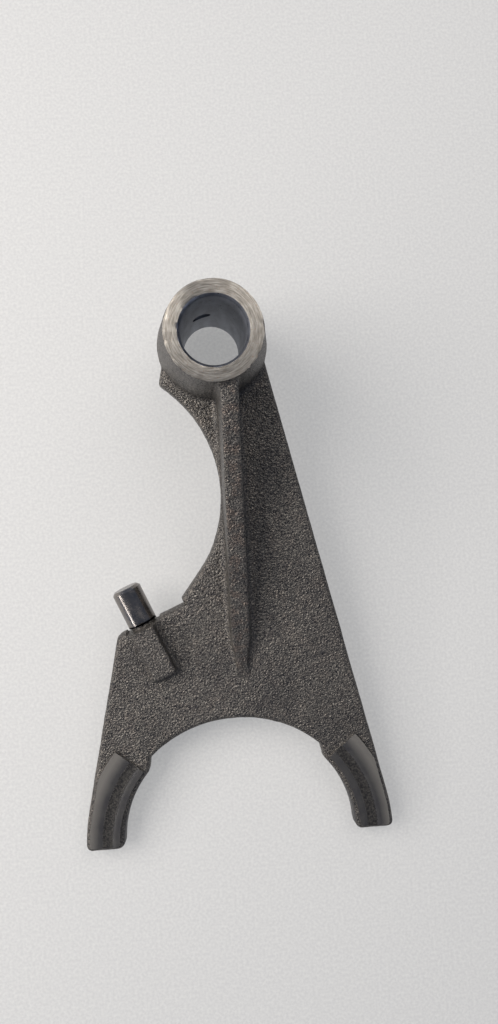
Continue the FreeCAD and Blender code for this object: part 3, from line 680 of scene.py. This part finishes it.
def foam_board(colours, sizes, glow):
    """Pale foam board: matte, with fine bright cells. Light spreads through real foam, so the board keeps
    only a faint shadow: seen directly, mirrored or through glass, part of its tone is its own."""
    material, tree = new_tree("foam_board")
    place = add(tree, "ShaderNodeTexCoord").outputs["Object"]
    cells = add(tree, "ShaderNodeTexNoise", {"Vector": place, "Scale": 1 / (sizes.foam_cell * MM),
                                             "Detail": 2.0})
    cells = add(tree, "ShaderNodeMapRange", {"Value": cells, "From Min": 0.35, "From Max": 0.7})
    colour = add(tree, "ShaderNodeMix", {"Factor": cells, "A": linear(colours.floor_shade),
                                         "B": linear(colours.floor)}, data_type="RGBA")
    board = add(tree, "ShaderNodeBsdfDiffuse", {"Color": colour})
    own = add(tree, "ShaderNodeEmission", {"Color": colour, "Strength": 1.0})
    path = add(tree, "ShaderNodeLightPath")
    seen = add(tree, "ShaderNodeMath", {0: path.outputs["Is Camera Ray"], 1: path.outputs["Is Glossy Ray"]},
               operation="MAXIMUM")
    seen = add(tree, "ShaderNodeMath", {0: seen, 1: path.outputs["Is Transmission Ray"]}, operation="MAXIMUM")
    seen = add(tree, "ShaderNodeMath", {0: seen, 1: glow}, operation="MULTIPLY")
    mix = add(tree, "ShaderNodeMixShader", {0: seen, 1: board, 2: own})
    add(tree, "ShaderNodeOutputMaterial", {"Surface": mix})
    return material


def room_light(settings):
    """A pale room, slightly blue: bright near the horizon, as walls are, and dimmer overhead and underfoot.
    The part of the walls is the fourth power of one minus how steep the view is."""
    world = bpy.data.worlds.new("room")
    world.use_nodes = True
    tree = world.node_tree
    tree.nodes.clear()
    way = add(tree, "ShaderNodeSeparateXYZ", {0: add(tree, "ShaderNodeTexCoord").outputs["Generated"]})
    steep = add(tree, "ShaderNodeMath", {0: way.outputs[2]}, operation="ABSOLUTE")
    walls = add(tree, "ShaderNodeMath", {0: 1.0, 1: steep}, operation="SUBTRACT")
    walls = add(tree, "ShaderNodeMath", {0: walls, 1: HORIZON_POWER}, operation="POWER")
    level = add(tree, "ShaderNodeMapRange", {"Value": walls, "To Min": settings.overhead_level,
                                             "To Max": settings.wall_level})
    light = add(tree, "ShaderNodeBackground", {"Color": linear(ROOM_COLOUR), "Strength": level})
    add(tree, "ShaderNodeOutputWorld", {"Surface": light})
    return world


class FORK_OT_stage(bpy.types.Operator):
    """Makes the floor, the lamps, the even light and the camera"""
    bl_idname = "fork.stage"
    bl_label = "Stage"

    def execute(self, context):
        scene, settings = context.scene, context.scene.fork_studio
        bpy.ops.mesh.primitive_plane_add(size=FLOOR_SIZE, location=(0, 0, CAD_BOX[0][2]))
        floor = context.object
        floor.name = "floor"
        floor.data.materials.append(foam_board(scene.fork_colours, scene.fork_sizes, settings.floor_glow))
        aim = settings.aim
        soft_lamp("window", settings.window_place, aim, settings.window_width, settings.window_power)
        soft_lamp("skylight", settings.sky_place, aim, settings.sky_width, settings.sky_power)
        strip = soft_lamp("strip", settings.strip_place, aim, STRIP_LENGTH, settings.strip_power)
        strip.data.shape = "RECTANGLE"
        strip.data.size_y = STRIP_WIDTH
        scene.world = room_light(settings)
        camera = bpy.data.cameras.new("camera")
        camera.sensor_width = SENSOR
        camera.lens = settings.focal_pixels / max(PICTURE_SIZE) * SENSOR
        camera.clip_start = CLIP_START
        holder = bpy.data.objects.new("camera", camera)
        holder.location = settings.camera_place
        holder.rotation_euler = [math.radians(a) for a in settings.camera_turn]
        scene.collection.objects.link(holder)
        scene.camera = holder
        scene.view_settings.view_transform = "Standard"
        return {"FINISHED"}


class FORK_PT_sidebar(bpy.types.Panel):
    """Lists the fork's sizes, colours and steps"""
    bl_idname = "FORK_PT_sidebar"
    bl_label = "Shift fork"
    bl_space_type = "VIEW_3D"
    bl_region_type = "UI"
    bl_category = "Shift Fork"

    def draw(self, context):
        for group in (context.scene.fork_sizes, context.scene.fork_colours, context.scene.fork_studio):
            box = self.layout.box()
            for name in group.bl_rna.properties.keys():
                if name not in ("rna_type", "name"):
                    box.prop(group, name)
        self.layout.operator("fork.casting")
        self.layout.operator("fork.stage")


CLASSES = (ForkSizes, ForkColours, StudioSettings, FORK_OT_casting, FORK_OT_stage, FORK_PT_sidebar)


def register():
    for item in CLASSES:
        bpy.utils.register_class(item)
    bpy.types.Scene.fork_sizes = bpy.props.PointerProperty(type=ForkSizes)
    bpy.types.Scene.fork_colours = bpy.props.PointerProperty(type=ForkColours)
    bpy.types.Scene.fork_studio = bpy.props.PointerProperty(type=StudioSettings)


def unregister():
    for name in ("fork_studio", "fork_colours", "fork_sizes"):
        delattr(bpy.types.Scene, name)
    for item in reversed(CLASSES):
        bpy.utils.unregister_class(item)


def main():
    register()
    bpy.ops.fork.stage()
    bpy.ops.fork.casting()


if __name__ == "__main__":
    main()
